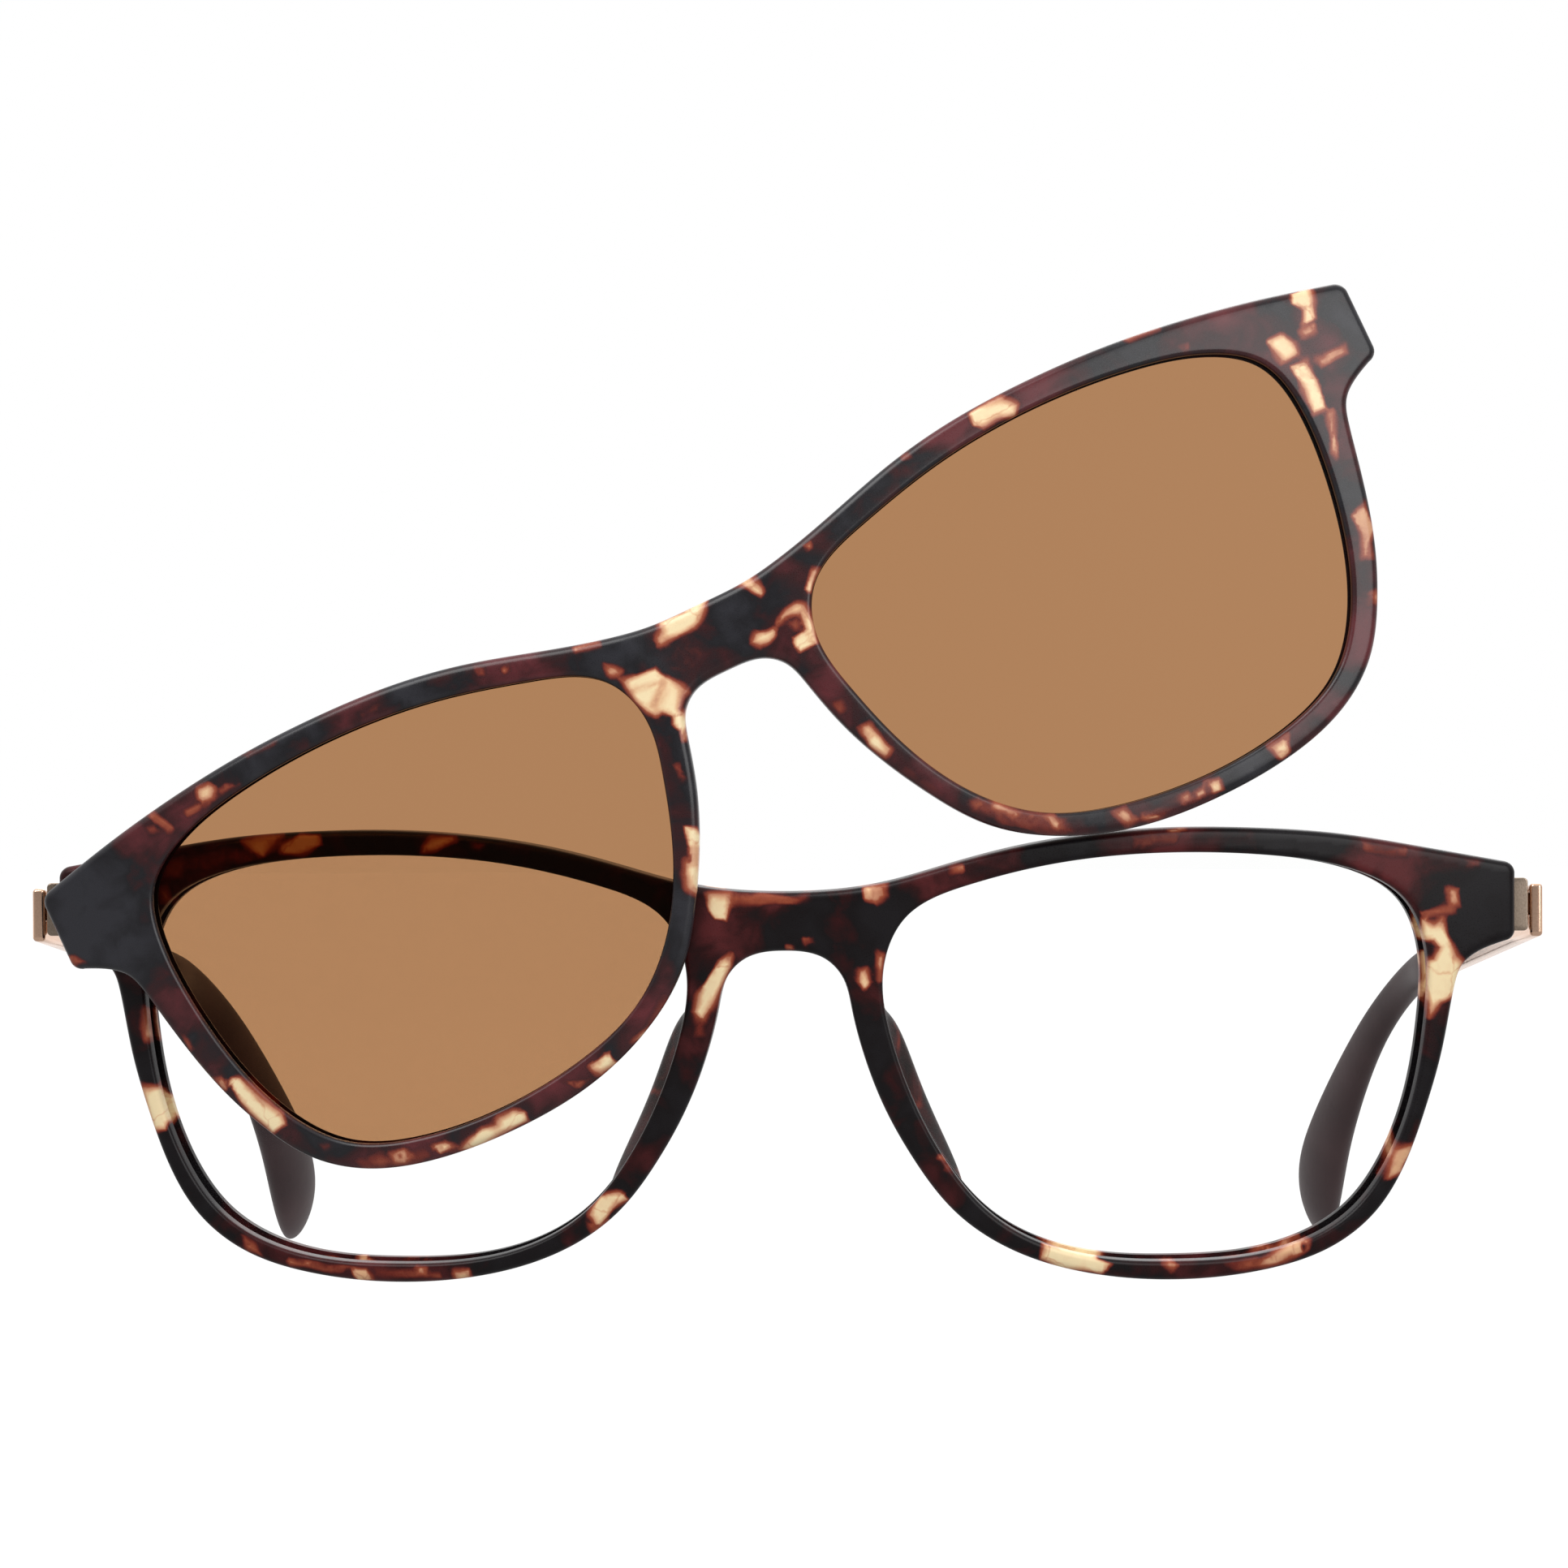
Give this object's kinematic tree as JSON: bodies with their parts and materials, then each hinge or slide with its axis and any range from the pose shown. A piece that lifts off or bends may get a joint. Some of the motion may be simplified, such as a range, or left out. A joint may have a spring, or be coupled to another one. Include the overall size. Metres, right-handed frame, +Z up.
{
  "type": "eyeglasses with magnetic sun clip",
  "caption": "Square tortoiseshell eyeglasses with folding metal temples and a magnetic sun clip-on swung up in front.",
  "frame": {"origin": "middle of the footprint, at the height of the table the glasses stand on", "axes": "+Z up, the front faces -Y, the temples reach back towards +Y, +X is the side called right as seen from the front"},
  "size_m": [0.1458, 0.1373, 0.0957],
  "materials": {
    "tortoiseshell": "satin mottled plastic, near-black to amber and cream",
    "clear_lens": "clear",
    "sun_lens": "brown tint",
    "rose_metal": "polished light rose gold",
    "screw_metal": "plain",
    "tip_plastic": "satin dark brown",
    "magnet": "nickel plated"
  },
  "bodies": {
    "front": {"front_frame": "tortoiseshell", "lens_left": "clear_lens", "lens_right": "clear_lens", "nose_pad_left": "tortoiseshell", "nose_pad_right": "tortoiseshell", "frame_magnet_left": "magnet", "frame_magnet_right": "magnet", "magnet_cap_left": "tortoiseshell", "magnet_cap_right": "tortoiseshell", "hinge_bracket_left": "rose_metal", "hinge_bracket_right": "rose_metal", "bracket_screws_left": "screw_metal", "bracket_screws_right": "screw_metal", "hinge_screw_left": "screw_metal", "hinge_screw_right": "screw_metal"},
    "temple_left": {"temple_arm_left": "rose_metal", "temple_tip_left": "tip_plastic"},
    "temple_right": {"temple_arm_right": "rose_metal", "temple_tip_right": "tip_plastic"},
    "clip_pivot": {"clip_magnet_left": "magnet"},
    "sun_clip": {"clip_frame": "tortoiseshell", "clip_lens_left": "sun_lens", "clip_lens_right": "sun_lens", "clip_magnet_right": "magnet"}
  },
  "joints": [
    {"name": "temple_fold_left", "type": "hinge", "parent": "front", "child": "temple_left", "pos_m": [-0.0685, -0.04885, 0.036], "axis": [0, 0, -1], "range_deg": [0, 82]},
    {"name": "temple_fold_right", "type": "hinge", "parent": "front", "child": "temple_right", "pos_m": [0.0685, -0.04885, 0.036], "axis": [0, 0, 1], "range_deg": [0, 77]},
    {"name": "clip_pull_off", "type": "slide", "parent": "front", "child": "clip_pivot", "axis": [-0.2873, -0.9564, -0.0525], "range_m": [0, 0.03]},
    {"name": "clip_swivel", "type": "hinge", "parent": "clip_pivot", "child": "sun_clip", "pos_m": [-0.06329, -0.05675, 0.03325], "axis": [-0.2873, -0.9564, -0.0525], "range_deg": [-26.2, 60]}
  ]
}
